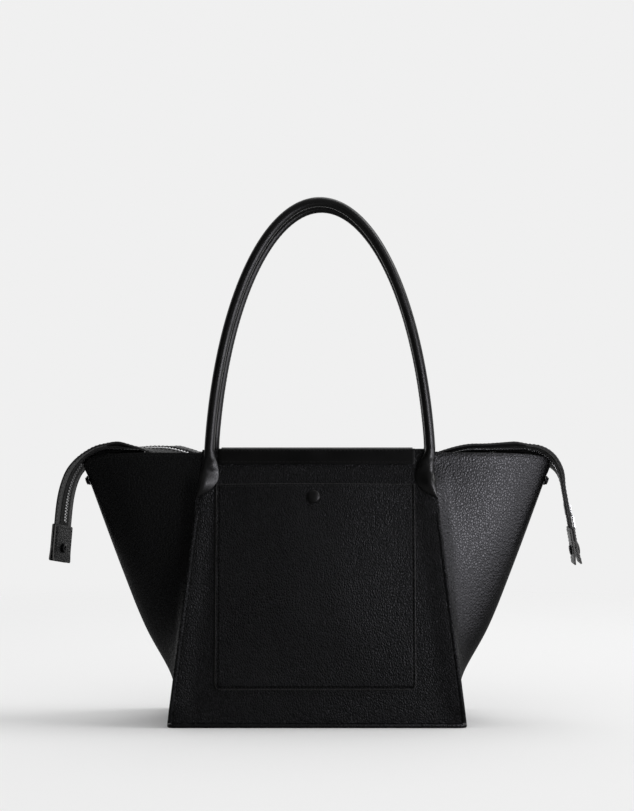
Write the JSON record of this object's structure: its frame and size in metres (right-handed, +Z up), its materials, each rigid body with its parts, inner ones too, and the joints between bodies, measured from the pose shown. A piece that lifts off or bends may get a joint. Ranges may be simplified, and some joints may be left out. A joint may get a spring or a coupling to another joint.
{
  "type": "tote bag",
  "caption": "Black leather tote with fold-out side wings, patch pocket with snap, two rolled handles and a zip ribbon that hangs over the wings as snap tabs.",
  "frame": {"origin": "centre of the base on the surface it stands on", "axes": "+X along the bag's width to the right seen from the front, +Y to the rear, +Z up"},
  "size_m": [0.5651, 0.1506, 0.551],
  "materials": {
    "grain_leather": "pebbled grain, soft satin",
    "smooth_leather": "smooth, satin",
    "lining_fabric": "woven, matt",
    "stiff_board": "raw fibre board",
    "handle_core": "twisted cord",
    "zip_metal": "polished nickel"
  },
  "bodies": {
    "bag": {"base_panel": "grain_leather", "base_board": "stiff_board", "base_lining": "lining_fabric", "front_panel": "grain_leather", "rear_panel": "grain_leather", "front_lining": "lining_fabric", "rear_lining": "lining_fabric", "front_top_band": "smooth_leather", "rear_top_band": "smooth_leather", "pocket_panel": "grain_leather", "pocket_snap_cap": "smooth_leather", "pocket_snap_socket": "zip_metal", "panel_snap_stud": "zip_metal", "left_wing": "grain_leather", "right_wing": "grain_leather", "left_wing_lining": "lining_fabric", "right_wing_lining": "lining_fabric", "left_wing_stud": "zip_metal", "right_wing_stud": "zip_metal", "front_left_handle_tab": "smooth_leather", "front_right_handle_tab": "smooth_leather", "rear_left_handle_tab": "smooth_leather", "rear_right_handle_tab": "smooth_leather", "left_front_bridge_strip": "grain_leather", "left_rear_bridge_strip": "grain_leather", "left_bridge_chain": "zip_metal", "right_front_bridge_strip": "grain_leather", "right_rear_bridge_strip": "grain_leather", "right_bridge_chain": "zip_metal"},
    "front_handle": {"front_handle_sleeve": "smooth_leather", "front_handle_core": "handle_core"},
    "rear_handle": {"rear_handle_sleeve": "smooth_leather", "rear_handle_core": "handle_core"},
    "front_leaf": {"front_zip_strip": "grain_leather", "front_zip_chain": "zip_metal"},
    "rear_leaf": {"rear_zip_strip": "grain_leather", "rear_zip_chain": "zip_metal"},
    "left_tab": {"left_front_tab_strip": "grain_leather", "left_rear_tab_strip": "grain_leather", "left_tab_chain": "zip_metal", "left_tab_end_cover": "grain_leather", "left_tab_snap_cap": "smooth_leather", "left_tab_snap_socket": "zip_metal"},
    "right_tab": {"right_front_tab_strip": "grain_leather", "right_rear_tab_strip": "grain_leather", "right_front_tab_chain": "zip_metal", "right_rear_tab_chain": "zip_metal", "right_tab_end_cover": "grain_leather", "right_tab_snap_cap": "smooth_leather", "right_tab_snap_socket": "zip_metal"},
    "slider": {"zip_slider": "zip_metal"},
    "puller": {"zip_puller": "zip_metal"}
  },
  "joints": [
    {"name": "front_handle_swing", "type": "hinge", "parent": "bag", "child": "front_handle", "pos_m": [0.003, -0.03558, 0.2885], "axis": [1, 0, 0], "range_deg": [-6.5, 110], "stiffness_Nm_per_rad": 0.4},
    {"name": "rear_handle_swing", "type": "hinge", "parent": "bag", "child": "rear_handle", "pos_m": [0.005, 0.03558, 0.2885], "axis": [-1, 0, 0], "range_deg": [-6.5, 110], "stiffness_Nm_per_rad": 0.4},
    {"name": "front_leaf_open", "type": "hinge", "parent": "bag", "child": "front_leaf", "pos_m": [0, -0.02673, 0.274], "axis": [1, 0, 0], "range_deg": [0, 78]},
    {"name": "rear_leaf_open", "type": "hinge", "parent": "bag", "child": "rear_leaf", "pos_m": [0, 0.02673, 0.274], "axis": [-1, 0, 0], "range_deg": [0, 78]},
    {"name": "left_tab_lift", "type": "hinge", "parent": "bag", "child": "left_tab", "pos_m": [-0.21934, -0.00034, 0.28926], "axis": [0, 0.9659, 0.2588], "range_deg": [0, 75]},
    {"name": "right_tab_lift", "type": "hinge", "parent": "bag", "child": "right_tab", "pos_m": [0.21934, 0.00034, 0.28926], "axis": [0, -0.9659, 0.2588], "range_deg": [0, 75]},
    {"name": "slider_travel", "type": "slide", "parent": "right_tab", "child": "slider", "axis": [0.1736, 0, -0.9848], "range_m": [-0.025, 0]},
    {"name": "puller_swing", "type": "hinge", "parent": "slider", "child": "puller", "pos_m": [0.26943, 0.00031, 0.22327], "axis": [0.1029, -0.9945, 0.0182], "range_deg": [0, 160]}
  ]
}
